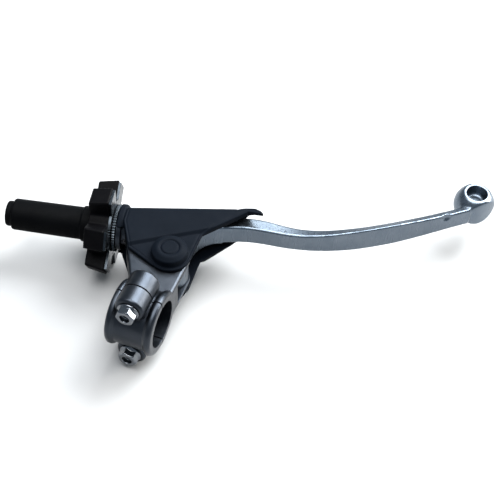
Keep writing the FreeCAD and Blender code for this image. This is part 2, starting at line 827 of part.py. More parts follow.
def neck_outline(sketch):
    """The hub round the pivot and the neck that leads from it to the blade."""
    pivot_x, pivot_y = S["pivot_x"], S["pivot_y"]
    hub, right = S["hub_radius"], S["neck_right"]
    waist_y = Size(math.sqrt(hub.value ** 2 - right.value ** 2),
                   f"sqrt({hub.formula} * {hub.formula} - {right.formula} * {right.formula})")
    return outline(
        sketch,
        (pivot_x - hub, pivot_y, hub),
        (pivot_x, pivot_y - hub, hub),
        (pivot_x + hub, pivot_y, hub),
        (pivot_x + right, pivot_y + waist_y),
        (pivot_x + right, pivot_y + S["neck_fillet_start"], -S["neck_fillet_radius"]),
        from_pivot("neck_rear_blade"),
        from_pivot("neck_front_blade"),
        (*from_pivot("neck_front_shoulder"), S["neck_shoulder_radius"]),
        from_pivot("neck_left_shoulder"),
    )


def make_lever_blade():
    """Forged lever: hub, neck with the cable's nipple pocket, blade and ball end."""
    body = new_body("lever_blade")
    symmetric_pad(body, neck_outline(new_sketch(body, "neck", "XY_Plane")), S["neck_half"])
    add_blade(body)
    add_ball_end(body)
    cut_nipple_pocket(body)
    bore = circle(new_sketch(body, "hub_bore", "XY_Plane"), (S["pivot_x"], S["pivot_y"]), S["bush_radius"])
    symmetric_pocket(body, bore, S["through_cut"])
    return body


def add_blade(body):
    """The blade, as a loft through its sections that runs on into the ball."""
    last = len(BLADE_SECTIONS)
    sections = []
    for number in range(1, last + 1):
        place, direction = blade_station((number - 1) / (last - 1))
        sections.append(blade_section(body, number, place, direction))
    run_out = DIMENSIONS["blade_run_out"]
    angle = math.radians(direction)
    beyond = (place[0] + run_out * math.cos(angle), place[1] + run_out * math.sin(angle))
    sections.append(blade_section(body, last + 1, beyond, direction))
    feature(body, "AdditiveLoft", sections[0], Sections=sections[1:])
    for section in sections[1:]:
        section.Visibility = False


def cut_nipple_pocket(body):
    """The round pocket for the cable's nipple, and the slot that its wire lies in."""
    nipple = circle(new_sketch(body, "nipple_pocket", "XY_Plane"), from_pivot("nipple"), S["nipple_radius"])
    symmetric_pocket(body, nipple, S["through_cut"])
    slot = new_sketch(body, "cable_slot", "XY_Plane", shift=from_pivot("nipple"), turn=S["cable_angle"])
    length, back, front = S["cable_slot_length"], S["cable_slot_back"], S["cable_slot_front"]
    outline(slot, (0.0, -back), (0.0, front), (-length, front), (-length, -back))
    symmetric_pocket(body, slot, S["cable_slot_half"])


def add_ball_end(body):
    """The ball, with a flat and a round recess on its upper side."""
    ball_x, ball_y = from_pivot("ball")
    ball = new_sketch(body, "ball_end", "XZ_Plane", lift=-ball_y, shift=(ball_x, 0.0))
    radius, flat = S["ball_radius"], S["ball_flat_height"]
    reach = Size(math.sqrt(radius.value ** 2 - flat.value ** 2),
                 f"sqrt({radius.formula} * {radius.formula} - {flat.formula} * {flat.formula})")
    outline(ball, (0.0, -radius, radius), (radius, 0.0, radius), (reach, flat), (0.0, flat))
    turned(body, ball, axis="V_Axis")
    recess = circle(new_sketch(body, "ball_recess", "XY_Plane", lift=flat), (ball_x, ball_y),
                    S["ball_recess_radius"])
    pocket(body, recess, S["ball_recess_depth"])


# ---------------------------------------------------------------- cable adjuster

def make_detent_ring():
    """Ring between the perch's nose and the star wheel, with a through hole for each detent ball."""
    body = ring_body("detent_ring", S["detent_ring_start"], S["detent_ring_end"], S["detent_ring_bore"],
                     S["detent_ring_radius"], **cable_place())
    holes = new_sketch(body, "detent_ring_holes", "YZ_Plane", lift=S["detent_ring_start"])
    for sign in (1, -1):
        circle(holes, (0.0, sign * S["detent_circle_radius"]), S["detent_pocket_radius"])
    pocket(body, holes, S["through_cut"], Reversed=True)
    return body


def make_detents():
    """Two steel balls and the small springs behind them."""
    station = S["detent_ring_end"] + S["detent_ball_height"] - S["detent_ball_radius"]
    offset = S["detent_circle_radius"]
    radius = S["detent_ball_radius"]
    ball = new_body("detent_ball", **cable_place())
    half_disc = new_sketch(ball, "detent_ball_outline", "XZ_Plane", shift=(station, offset))
    outline(half_disc, (-radius, 0.0, -radius), (0.0, radius, -radius), (radius, 0.0))
    turned(ball, half_disc)
    spring = new_body("detent_spring", **cable_place())
    wire = S["detent_spring_wire"]
    low = S["detent_pocket_floor"] + wire + S["detent_spring_clearance"]
    coils = int(DIMENSIONS["detent_spring_coils"])
    span = station - radius - wire - low
    for number in range(coils):
        place = low + span * (number / (coils - 1))
        coil = new_sketch(spring, f"detent_coil_{number + 1}", "XZ_Plane", shift=(place, offset))
        circle(coil, (0.0, S["detent_spring_radius"]), wire)
        turned(spring, coil)
    spring.AllowCompound = True
    balls = group("detent_balls", ball, mirrored(ball, "detent_ball_far"))
    springs = group("detent_springs", spring, mirrored(spring, "detent_spring_far"))
    return balls, springs


def star_outline(body, name, start, margin):
    """Disc and six square lobes of the star, drawn across the adjuster's axis."""
    disc = circle(new_sketch(body, name + "_disc", "YZ_Plane", lift=start), (0.0, 0.0),
                  S["wheel_root_radius"] - margin)
    lobe = new_sketch(body, name + "_lobe", "YZ_Plane", lift=start, turn=S["wheel_lobe_turn"])
    half = S["wheel_lobe_width"] / 2 - margin
    outer = S["wheel_lobe_radius"] - margin
    outline(lobe, (-half, 0.0), (half, 0.0), (half, outer), (-half, outer))
    return disc, lobe


def star_pad(body, name, start, end, margin):
    """The star's solid, with its lobes repeated round the axis."""
    disc, lobe = star_outline(body, name, start, margin)
    pad(body, disc, end - start)
    arm = pad(body, lobe, end - start)
    pattern = body.newObject("PartDesign::PolarPattern", name + "_pattern")
    pattern.Originals = [arm]
    pattern.Axis = (lobe, ["N_Axis"])
    pattern.Angle = 360.0
    pattern.Occurrences = int(DIMENSIONS["wheel_lobes"])
    body.Tip = pattern
    return pattern


def make_adjuster_wheel():
    """Moulded star wheel with a boss that the rubber boot slides on."""
    body = new_body("adjuster_wheel", **cable_place())
    star = star_pad(body, "wheel", S["wheel_start"], S["wheel_end"], as_size(0.0))
    rounded(body, star, S["wheel_edge_round"], is_lobe_corner)
    boss = new_sketch(body, "wheel_boss", "YZ_Plane", lift=S["wheel_end"])
    circle(boss, (0.0, 0.0), S["wheel_boss_radius"])
    pad(body, boss, S["wheel_boss_end"] - S["wheel_end"])
    bore = circle(new_sketch(body, "wheel_bore", "YZ_Plane", lift=S["wheel_start"]), (0.0, 0.0),
                  S["sleeve_tail_radius"] + S["bush_clearance"])
    pocket(body, bore, S["through_cut"], Reversed=True)
    return body


def is_lobe_corner(edge):
    """Whether an edge of the star runs along the axis at an outer corner of a lobe."""
    middle = (DIMENSIONS["wheel_root_radius"] + DIMENSIONS["wheel_lobe_radius"]) / 2
    ends = [(vertex.Y, vertex.Z) for vertex in edge.Vertexes]
    return len(ends) == 2 and math.dist(*ends) < TOLERANCE and math.hypot(*ends[0]) > middle


def make_star_plate():
    """Aluminium star on the wheel's outboard face, with a round track for the detent balls."""
    body = new_body("wheel_star_plate", **cable_place())
    star_pad(body, "plate", S["plate_start"], S["plate_end"], S["plate_margin"])
    bore = new_sketch(body, "plate_bore", "YZ_Plane", lift=S["plate_start"])
    circle(bore, (0.0, 0.0), S["plate_bore"])
    pocket(body, bore, S["through_cut"], Reversed=True)
    track = new_sketch(body, "ball_track", "XY_Plane")
    inner = S["detent_circle_radius"] - S["ball_track_half_width"]
    outer = S["detent_circle_radius"] + S["ball_track_half_width"]
    mouth, floor = S["plate_start"] - S["cut_overlap"], S["plate_start"] + S["ball_track_depth"]
    outline(track, (mouth, inner), (floor, inner), (floor, outer), (mouth, outer))
    turned(body, track, kind="Groove")
    return body


def make_wheel_sleeve():
    """Brass sleeve moulded in the wheel: its bore carries the barrel's thread."""
    return turned_body(
        "wheel_sleeve",
        (S["sleeve_start"], S["sleeve_bore"]),
        (S["sleeve_tail_end"], S["sleeve_bore"]),
        (S["sleeve_tail_end"], S["sleeve_tail_radius"]),
        (S["wheel_start"], S["sleeve_tail_radius"]),
        (S["wheel_start"], S["sleeve_radius"]),
        (S["seal_groove_end"], S["sleeve_radius"]),
        (S["seal_groove_end"], S["seal_groove_radius"]),
        (S["seal_groove_start"], S["seal_groove_radius"]),
        (S["seal_groove_start"], S["sleeve_radius"]),
        (S["screw_groove_end"], S["sleeve_radius"]),
        (S["screw_groove_end"], S["screw_groove_radius"]),
        (S["screw_groove_start"], S["screw_groove_radius"]),
        (S["screw_groove_start"], S["sleeve_radius"]),
        (S["sleeve_start"], S["sleeve_radius"]),
        **cable_place())


def make_sleeve_seal():
    """Rubber O-ring that keeps water out of the sleeve's bearing."""
    body = new_body("sleeve_seal", **cable_place())
    middle = (S["seal_groove_start"] + S["seal_groove_end"]) / 2
    section = circle(new_sketch(body, "seal_section", "XY_Plane"), (middle, S["seal_ring_radius"]),
                     S["seal_wire_radius"])
    turned(body, section)
    return body


def make_retaining_screw():
    """Small grub screw in the nose, whose tip in the sleeve's groove lets the wheel turn but not slide."""
    body = new_body("retaining_screw", **cable_place())
    screw = circle(new_sketch(body, "screw_shank", "XZ_Plane", lift=-S["snout_radius"]),
                   (S["screw_station"], 0.0), S["screw_radius"])
    pad(body, screw, S["snout_radius"] - S["screw_tip"])
    socket = polygon(new_sketch(body, "screw_socket", "XZ_Plane", lift=-S["snout_radius"]), 6,
                     S["screw_socket_radius"], centre=(S["screw_station"], as_size(0.0)))
    pocket(body, socket, S["screw_socket_depth"], Reversed=True)
    return body


def make_cable_barrel():
    """Threaded barrel that the cable casing seats in. Its flat keeps it from turning in the nose."""
    body = new_body("cable_barrel", **cable_place())
    rod = key_outline(new_sketch(body, "barrel_rod", "YZ_Plane", lift=S["barrel_start"]), S["barrel_radius"],
                      S["barrel_flat"])
    pad(body, rod, S["barrel_head_start"] - S["barrel_start"])
    head = circle(new_sketch(body, "barrel_head", "YZ_Plane", lift=S["barrel_head_start"]), (0.0, 0.0),
                  S["barrel_head_radius"])
    pad(body, head, S["barrel_head_end"] - S["barrel_head_start"])
    wire = circle(new_sketch(body, "barrel_wire_bore", "YZ_Plane", lift=S["barrel_start"]), (0.0, 0.0),
                  S["barrel_wire_radius"])
    pocket(body, wire, S["barrel_head_end"] - S["barrel_start"], Reversed=True)
    seat = circle(new_sketch(body, "casing_seat", "YZ_Plane", lift=S["barrel_head_end"]), (0.0, 0.0),
                  S["casing_seat_radius"])
    pocket(body, seat, S["casing_seat_depth"])
    return body


def make_cable_boot():
    """Rubber boot over the barrel: a collar at the wheel, a slightly tapered tube and a stepped tip."""
    start, end, soft = S["boot_start"], S["boot_end"], S["boot_edge"]
    collar_end = start + S["boot_collar_width"]
    return turned_body(
        "cable_boot",
        (start, S["boot_bore"]),
        (S["boot_chamber_end"], S["boot_bore"]),
        (S["boot_chamber_end"], S["boot_casing_hole"]),
        (end, S["boot_casing_hole"]),
        (end, S["boot_tip_radius"] - soft),
        (end - soft, S["boot_tip_radius"]),
        (S["boot_tip_start"] + S["boot_tip_slope"], S["boot_tip_radius"]),
        (S["boot_tip_start"], S["boot_narrow_radius"]),
        (collar_end + soft, S["boot_wide_radius"]),
        (collar_end, S["boot_collar_radius"]),
        (start + soft, S["boot_collar_radius"]),
        (start, S["boot_collar_radius"] - soft),
        **cable_place())


# ---------------------------------------------------------------- rubber dust cover

def cover_outline(sketch):
    """Outline of the cover's two side panels."""
    corner = S["cover_corner_radius"]
    return outline(
        sketch,
        point("cover_lower_left"),
        (*point("cover_lower_right"), corner),
        point("cover_corner"),
        point("cover_notch"),
        point("cover_beak_root"),
        point("cover_beak_tip"),
        point("cover_beak_top"),
        point("cover_hump"),
        point("cover_dip"),
        point("cover_front_left"),
        point("cover_left"),
    )


def raised_outline(sketch):
    """Outline of the thicker upper part of each panel, above the step."""
    return outline(
        sketch,
        point("step_left"),
        point("step_right"),
        point("cover_beak_root"),
        point("cover_beak_tip"),
        point("cover_beak_top"),
        point("cover_hump"),
        point("cover_dip"),
        point("cover_front_left"),
        point("cover_left"),
    )


def cavity_outline(sketch):
    """The hollow between the panels, open towards the bar and outboard."""
    far = S["through_cut"]
    front = S["inner_right_y"] + far
    return outline(
        sketch,
        (-far, -far),
        (far, -far),
        (far, front),
        (S["inner_right_x"], front),
        point("inner_right"),
        point("inner_left"),
        (-far, S["inner_left_y"]),
    )


def edges_between(first, second):
    """A test for the level edges that join two named corners."""
    corners = (POINTS[first], POINTS[second])

    def chooses(edge):
        ends = [(vertex.X, vertex.Y) for vertex in edge.Vertexes]
        return all(min(math.dist(corner, end) for end in ends) < TOLERANCE for corner in corners)
    return chooses


def cap_half(body, sign):
    """One round cap over the pivot bolt or its nut."""
    sketch = new_sketch(body, "cap_near" if sign > 0 else "cap_far", "XZ_Plane", lift=-S["pivot_y"],
                        shift=(S["pivot_x"], 0.0))
    top = S["cap_height"]
    rim = top - S["cap_chamfer_drop"]
    inner = sign * S["cover_inner_half"]
    dimple = sign * (top - S["cap_dimple_depth"])
    outline(sketch, (0.0, inner), (S["cap_base_radius"] + S["cap_base_flare"], inner),
            (S["cap_base_radius"], sign * rim), (S["cap_top_radius"], sign * top),
            (S["cap_dimple_radius"], sign * top), (S["cap_dimple_radius"], dimple), (0.0, dimple))
    return turned(body, sketch, axis="V_Axis")


def cap_cavity(body, sign):
    """The hollow in one cap, which holds the bolt's head or the nut."""
    sketch = new_sketch(body, "cap_cavity_near" if sign > 0 else "cap_cavity_far", "XY_Plane")
    circle(sketch, (S["pivot_x"], S["pivot_y"]), S["cap_cavity_radius"])
    return pocket(body, sketch, S["cap_height"] - S["cap_wall"], Reversed=sign > 0)


def make_dust_cover():
    """Rubber cover: two panels joined by a front wall, a disc round the nose and a cap on each side."""
    body = new_body("dust_cover")
    symmetric_pad(body, cover_outline(new_sketch(body, "cover_panels", "XY_Plane")), S["cover_half"])
    raised = raised_outline(new_sketch(body, "cover_raised", "XY_Plane"))
    upper = symmetric_pad(body, raised, S["cover_raised_half"])
    rounded(body, upper, S["cover_front_round"], edges_between("cover_dip", "cover_front_left"))
    tube = cable_side_sketch(body, "cover_tube")
    root, disc, end = -S["cover_tube_start"], -S["cover_disc_start"], -S["cover_disc_end"]
    outline(tube, (root, 0.0), (root, S["cover_tube_radius"]), (disc, S["cover_tube_radius"]),
            (disc, S["cover_disc_radius"]), (end, S["cover_disc_radius"]), (end, 0.0))
    turned(body, tube)
    for sign in (1, -1):
        cap_half(body, sign)
    cavity = cavity_outline(new_sketch(body, "cover_cavity", "XY_Plane"))
    symmetric_pocket(body, cavity, S["cover_inner_half"])
    nose = cable_side_sketch(body, "cover_nose_bore")
    inner_start = S["cover_disc_start"] + S["cover_disc_wall"]
    start, end = -S["cover_bore_start"], -S["cover_disc_end"] - S["cut_overlap"]
    outline(nose, (start, 0.0), (start, S["cover_tube_bore"]), (-inner_start, S["cover_tube_bore"]),
            (-inner_start, S["cover_disc_bore"]), (end, S["cover_disc_bore"]), (end, 0.0))
    turned(body, nose, kind="Groove")
    for sign in (1, -1):
        cap_cavity(body, sign)
    return body


# ---------------------------------------------------------------- whole part

def make_all():
    """Every sub-part, in the order of assembly."""
    return [
        make_perch_body(),
        make_clamp_cap(),
        make_clamp_bolts(),
        make_pivot_bolt(),
        *make_pivot_fasteners(),
        *make_pivot_bearing(),
        make_lever_blade(),
        make_detent_ring(),
        *make_detents(),
        make_adjuster_wheel(),
        make_star_plate(),
        make_wheel_sleeve(),
        make_sleeve_seal(),
        make_retaining_screw(),
        make_cable_barrel(),
        make_cable_boot(),
        make_dust_cover(),
    ]


def check(pieces):
    """Stop if any object failed to build, or a sub-part has no sound shape."""
    doc.recompute()
    for item in doc.Objects:
        if "Invalid" in item.State or "Error" in item.State:
            raise RuntimeError(f"{item.Name} did not build: {item.State}")
    for piece in pieces:
        shape = piece.Shape
        if shape.isNull() or not shape.isValid() or shape.Volume <= 0:
            raise RuntimeError(f"{piece.Label} has no valid shape")
        print(f"{piece.Label:20s} {len(shape.Solids)} solid(s) {shape.Volume:10.1f} mm3")


fill_sheet()
sub_parts = make_all()
check(sub_parts)
os.makedirs("parts", exist_ok=True)
for sub_part in sub_parts:
    sub_part.Shape.exportStep(f"parts/{sub_part.Label}.step")
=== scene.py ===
"""Looks of the clutch lever: detailed pieces, materials, light, floor and camera.

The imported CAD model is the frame: +X runs along the handlebar, +Y forward to the lever and +Z along the
lever's pivot. The moulded, forged and rubber pieces are shaped here as fields of distance in millimetres,
negative inside the piece, and surface_of() draws the surface where a field is zero. The other pieces are
the CAD nodes themselves with a procedural material.
"""
import json
import math
import bpy
import numpy as np
from mathutils import Euler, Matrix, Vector


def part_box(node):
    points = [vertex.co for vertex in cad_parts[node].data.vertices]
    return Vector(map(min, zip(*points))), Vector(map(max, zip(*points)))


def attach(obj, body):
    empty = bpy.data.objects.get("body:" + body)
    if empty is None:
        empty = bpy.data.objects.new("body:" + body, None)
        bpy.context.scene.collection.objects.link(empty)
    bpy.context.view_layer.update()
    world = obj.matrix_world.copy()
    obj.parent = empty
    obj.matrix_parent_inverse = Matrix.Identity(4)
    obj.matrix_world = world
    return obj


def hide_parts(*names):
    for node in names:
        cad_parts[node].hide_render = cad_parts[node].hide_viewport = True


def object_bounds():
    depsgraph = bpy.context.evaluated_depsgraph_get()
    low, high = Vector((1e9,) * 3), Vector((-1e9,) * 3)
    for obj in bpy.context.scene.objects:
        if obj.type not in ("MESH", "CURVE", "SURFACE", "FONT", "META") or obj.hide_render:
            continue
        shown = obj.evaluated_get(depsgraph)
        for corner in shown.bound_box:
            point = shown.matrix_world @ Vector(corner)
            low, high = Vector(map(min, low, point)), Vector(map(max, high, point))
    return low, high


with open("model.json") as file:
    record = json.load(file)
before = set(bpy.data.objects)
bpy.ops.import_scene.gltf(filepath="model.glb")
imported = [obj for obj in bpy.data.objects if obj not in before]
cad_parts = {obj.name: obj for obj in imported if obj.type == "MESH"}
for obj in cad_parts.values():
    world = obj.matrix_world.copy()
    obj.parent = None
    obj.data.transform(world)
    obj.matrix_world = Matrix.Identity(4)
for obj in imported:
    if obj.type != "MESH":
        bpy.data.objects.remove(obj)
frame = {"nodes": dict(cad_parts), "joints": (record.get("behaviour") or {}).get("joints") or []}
cad_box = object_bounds()

MM = 0.001
NODES = frame["nodes"]
JOINTS = {joint["name"]: joint for joint in frame["joints"]}

# Places that the frame gives, in millimetres.
PIVOT = np.array(JOINTS["lever_pull"]["pos_m"]) / MM
INBOARD = np.array(JOINTS["wheel_turn"]["axis"])
WHEEL_CENTRE = np.array(JOINTS["wheel_turn"]["pos_m"]) / MM
CABLE_FOOT = WHEEL_CENTRE + INBOARD * np.dot(PIVOT - WHEEL_CENTRE, INBOARD)


# ---------------------------------------------------------------- fields of distance

def grid_over(node, cell, spare=1.5):
    """Sparse coordinates of a grid of points over a CAD node's box, in millimetres."""
    low, high = (np.array(corner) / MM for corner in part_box(node))
    axes = [np.arange(start - spare, end + spare, cell) for start, end in zip(low, high)]
    return np.meshgrid(*axes, indexing="ij", sparse=True)


def meet(first, second, radius=0.0):
    """What is inside both fields, with the edge between them rounded."""
    inner = np.minimum(np.maximum(first, second), -radius)
    return inner + np.hypot(np.maximum(first + radius, 0.0), np.maximum(second + radius, 0.0))


def join(first, second, radius=0.0):
    """What is inside either field, with a fillet between them."""
    return -meet(-first, -second, radius)


def cut(first, second, radius=0.0):
    """The first field less the second, with a rounded edge."""
    return meet(first, -second, radius)


def between(coordinate, low, high):
    """Distance to a slab from low to high along one coordinate."""
    return np.abs(coordinate - (low + high) / 2) - (high - low) / 2


def beyond_line(x, y, start, end):
    """Distance to the left of the line from start to end."""
    run = np.subtract(end, start)
    return ((y - start[1]) * run[0] - (x - start[0]) * run[1]) / np.hypot(*run)


def polygon(x, y, corners):
    """Distance to a closed outline."""
    nearest = np.full(np.broadcast(x, y).shape, np.inf)
    inside = np.zeros(nearest.shape, bool)
    for (ax, ay), (bx, by) in zip(corners, corners[1:] + corners[:1]):
        run_x, run_y = bx - ax, by - ay
        share = np.clip(((x - ax) * run_x + (y - ay) * run_y) / (run_x ** 2 + run_y ** 2), 0.0, 1.0)
        nearest = np.minimum(nearest, np.hypot(x - ax - share * run_x, y - ay - share * run_y))
        if run_y:
            inside ^= ((ay > y) != (by > y)) & (x - ax < (y - ay) * run_x / run_y)
    return np.where(inside, -nearest, nearest)


def arc(centre, radius, start, end, count=12):
    """Points on an arc, with its angles in degrees."""
    angles = np.radians(np.linspace(start, end, count))
    return [(centre[0] + radius * math.cos(a), centre[1] + radius * math.sin(a)) for a in angles]


def cable_coordinates(x, y, z):
    """Distance inboard along the cable line, sideways from it, and out from it."""
    dx, dy = x - CABLE_FOOT[0], y - CABLE_FOOT[1]
    along = dx * INBOARD[0] + dy * INBOARD[1]
    side = dy * INBOARD[0] - dx * INBOARD[1]
    return along, side, np.hypot(side, z)


# ---------------------------------------------------------------- meshes

def surface_of(name, field, grid, smoothing=0):
    """A mesh object of the surface where the field is zero, with one point in each cell it passes."""
    field = np.ascontiguousarray(field)
    inside = field < 0.0
    cells = tuple(n - 1 for n in field.shape)
    total = np.zeros(cells + (3,), np.float32)
    count = np.zeros(cells, np.uint8)
    for axis in range(3):
        others = [a for a in range(3) if a != axis]
        for corner in ((0, 0), (0, 1), (1, 0), (1, 1)):
            start = [0, 0, 0]
            for other, step in zip(others, corner):
                start[other] = step
            end = list(start)
            end[axis] = 1
            near = tuple(slice(s, s + n) for s, n in zip(start, cells))
            far = tuple(slice(e, e + n) for e, n in zip(end, cells))
            crossed = inside[near] != inside[far]
            here, there = field[near][crossed], field[far][crossed]
            points = np.tile(np.array(start, np.float32), (len(here), 1))
            points[:, axis] = here / (here - there)
            total[crossed] += points
            count[crossed] += 1
    used = count > 0
    places = np.argwhere(used) + total[used] / count[used][:, None]
    origin = [axis.ravel()[0] for axis in grid]
    cell = grid[0].ravel()[1] - grid[0].ravel()[0]
    vertices = (places * cell + origin) * MM
    numbers = np.full(cells, -1)
    numbers[used] = np.arange(len(vertices))
    quads = []
    for axis in range(3):
        second, third = (axis + 1) % 3, (axis + 2) % 3
        near = tuple(slice(0, -1) if a == axis else slice(1, -1) for a in range(3))
        far = tuple(slice(1, None) if a == axis else slice(1, -1) for a in range(3))
        crossed = inside[near] != inside[far]
        edges = np.argwhere(crossed)
        outward = inside[near][crossed]
        edges[:, second] += 1
        edges[:, third] += 1
        around = []
        for back_second, back_third in ((0, 0), (1, 0), (1, 1), (0, 1)):
            place = edges.copy()
            place[:, second] -= back_second
            place[:, third] -= back_third
            around.append(numbers[tuple(place.T)])
        ring = np.stack(around, axis=1)
        quads.append(np.where(outward[:, None], ring, ring[:, ::-1]))
    mesh = bpy.data.meshes.new(name)
    mesh.from_pydata(vertices.tolist(), [], np.concatenate(quads).tolist())
    mesh.validate()
    piece = bpy.data.objects.new(name, mesh)
    bpy.context.scene.collection.objects.link(piece)
    if smoothing:
        smooth = piece.modifiers.new("Smooth", "SMOOTH")
        smooth.factor = 0.5
        smooth.iterations = smoothing
    mesh.shade_smooth()
    return piece


def finish_piece(piece, node, body, material):
    """Put a detailed piece in the place of a CAD node, on the same body."""
    piece.data.materials.append(material)
    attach(piece, body)
    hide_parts(node)


# ---------------------------------------------------------------- material nodes

class Finish:
    """A material in the making: its node tree, its shader and short ways to add nodes."""

    def __init__(self, name, colour, metallic, roughness):
        self.material = bpy.data.materials.new(name)
        self.material.use_nodes = True
        self.nodes = self.material.node_tree.nodes
        self.links = self.material.node_tree.links
        self.shader = self.nodes["Principled BSDF"]
        self.shader.inputs["Base Color"].default_value = (*colour, 1.0)
        self.shader.inputs["Metallic"].default_value = metallic
        self.shader.inputs["Roughness"].default_value = roughness
        self.place = self.nodes.new("ShaderNodeTexCoord").outputs["Object"]
        self.relief = None

    def node(self, kind, **inputs):
        """A new node with some of its inputs set or linked."""
        made = self.nodes.new(kind)
        for socket, value in inputs.items():
            self.feed(made.inputs[socket.replace("_", " ")], value)
        return made

    def feed(self, socket, value):
        """Link an output to a socket, or set the socket's value."""
        if isinstance(value, bpy.types.NodeSocket):
            self.links.new(value, socket)
        else:
            socket.default_value = value

    def stretched(self, scale, turn=0.0):
        """Object coordinates scaled along the axes, in turns of the pattern per metre."""
        mapping = self.node("ShaderNodeMapping", Vector=self.place)
        mapping.inputs["Scale"].default_value = scale
        mapping.inputs["Rotation"].default_value = (0.0, 0.0, turn)
        return mapping.outputs["Vector"]

    def noise(self, scale, detail=3.0, stretch=None, turn=0.0):
        """Noise of about one grain per 1 / scale metres."""
        vector = self.stretched(stretch, turn) if stretch else self.place
        made = self.node("ShaderNodeTexNoise", Vector=vector, Scale=scale, Detail=detail)
        return made.outputs["Fac"]

    def ranged(self, value, low, high, start=0.3, end=0.7):
        """A pattern's values from start to end, spread from low to high."""
        made = self.node("ShaderNodeMapRange", Value=value)
        for socket, number in (("From Min", start), ("From Max", end), ("To Min", low), ("To Max", high)):
            made.inputs[socket].default_value = number
        return made.outputs["Result"]

    def roughen(self, pattern, low, high):
        """Let the roughness follow a pattern."""
        self.links.new(self.ranged(pattern, low, high), self.shader.inputs["Roughness"])

    def tint(self, pattern, dark, light):
        """Let the colour run from dark to light with a pattern."""
        mix = self.nodes.new("ShaderNodeMix")
        mix.data_type = "RGBA"
        self.links.new(self.ranged(pattern, 0.0, 1.0), mix.inputs["Factor"])
        colours = [socket for socket in mix.inputs if socket.type == "RGBA"]
        colours[0].default_value = (*dark, 1.0)
        colours[1].default_value = (*light, 1.0)
        output = [socket for socket in mix.outputs if socket.type == "RGBA"][0]
        self.links.new(output, self.shader.inputs["Base Color"])

    def emboss(self, pattern, depth, strength=1.0):
        """Raise the surface by a pattern, in metres, over any relief it has."""
        bump = self.node("ShaderNodeBump", Height=pattern, Distance=depth, Strength=strength)
        if self.relief is not None:
            self.links.new(self.relief, bump.inputs["Normal"])
        self.relief = bump.outputs["Normal"]
        self.links.new(self.relief, self.shader.inputs["Normal"])

    def soften_edges(self, radius):
        """Break the sharp edges of a machined or cast piece, as a light radius in metres."""
        bevel = self.nodes.new("ShaderNodeBevel")
        bevel.samples = 6
        bevel.inputs["Radius"].default_value = radius
        self.relief = bevel.outputs["Normal"]
        self.links.new(self.relief, self.shader.inputs["Normal"])


def cast_alloy():
    """Satin grey cast aluminium, bead blasted."""
    finish = Finish("cast_alloy_satin", (0.033, 0.038, 0.046), 1.0, 0.4)
    finish.soften_edges(0.35 * MM)
    finish.tint(finish.noise(90.0, 4.0), (0.028, 0.033, 0.041), (0.038, 0.043, 0.051))
    finish.roughen(finish.noise(350.0, 3.0), 0.32, 0.4)
    finish.emboss(finish.noise(2600.0, 2.0), 0.03 * MM, 0.6)
    return finish.material


def forged_alloy():
    """Forged aluminium, ground across the grip face and tumbled on the rest."""
    finish = Finish("forged_alloy_ground", (0.12, 0.145, 0.175), 1.0, 0.3)
    lines = finish.noise(1.0, 4.0, stretch=(1500.0, 1500.0, 60.0))
    cloud = finish.noise(140.0, 3.0)
    finish.tint(cloud, (0.11, 0.135, 0.165), (0.135, 0.16, 0.19))
    finish.roughen(lines, 0.24, 0.38)
    finish.emboss(lines, 0.012 * MM, 0.35)
    finish.emboss(finish.noise(900.0, 2.0), 0.02 * MM, 0.4)
    return finish.material


def zinc_plate():
    """Bright zinc plate on steel."""
    finish = Finish("zinc_plate", (0.15, 0.16, 0.175), 1.0, 0.18)
    finish.soften_edges(0.25 * MM)
    finish.tint(finish.noise(300.0, 3.0), (0.12, 0.13, 0.15), (0.17, 0.18, 0.19))
    finish.roughen(finish.noise(700.0, 3.0), 0.12, 0.22)
    finish.emboss(finish.noise(1500.0, 3.0), 0.015 * MM, 0.5)
    return finish.material


def machined_alloy(name, dark, light):
    """Turned aluminium, with fine rings about the cable line."""
    finish = Finish(name, dark, 1.0, 0.28)
    finish.soften_edges(0.12 * MM)
    turn = math.atan2(INBOARD[1], INBOARD[0])
    along = finish.noise(1.0, 3.0, stretch=(3000.0, 120.0, 120.0), turn=-turn)
    finish.tint(finish.noise(400.0, 3.0), dark, light)
    finish.roughen(along, 0.2, 0.38)
    finish.emboss(along, 0.015 * MM, 0.5)
    return finish.material


def moulded_black():
    """Glass-filled black nylon with a fine moulded grain."""
    finish = Finish("moulded_black", (0.0016, 0.0016, 0.002), 0.0, 0.45)
    finish.shader.inputs["Specular IOR Level"].default_value = 0.03
    finish.tint(finish.noise(200.0, 3.0), (0.0012, 0.0012, 0.0016), (0.0022, 0.0022, 0.0026))
    finish.roughen(finish.noise(1800.0, 3.0), 0.38, 0.56)
    finish.emboss(finish.noise(2200.0, 2.0), 0.03 * MM, 0.5)
    return finish.material


def rubber(name, dark, light, low, high):
    """Moulded rubber with a dull skin and faint handling marks."""
    finish = Finish(name, dark, 0.0, (low + high) / 2)
    finish.shader.inputs["Specular IOR Level"].default_value = 0.03
    finish.tint(finish.noise(70.0, 5.0), dark, light)
    finish.roughen(finish.noise(260.0, 4.0), low, high)
    finish.emboss(finish.noise(1700.0, 3.0), 0.03 * MM, 0.5)
    return finish.material


def plain_finish(name, colour, metallic, roughness):
    """A small inner piece: an even colour, clouded, over a fine grain."""
    finish = Finish(name, colour, metallic, roughness)
    finish.tint(finish.noise(500.0, 3.0), [0.8 * c for c in colour], [min(1.0, 1.15 * c) for c in colour])
    finish.roughen(finish.noise(900.0, 3.0), 0.8 * roughness, 1.2 * roughness)
    finish.emboss(finish.noise(2500.0, 2.0), 0.01 * MM, 0.5)
    return finish.material


# ---------------------------------------------------------------- rubber cover

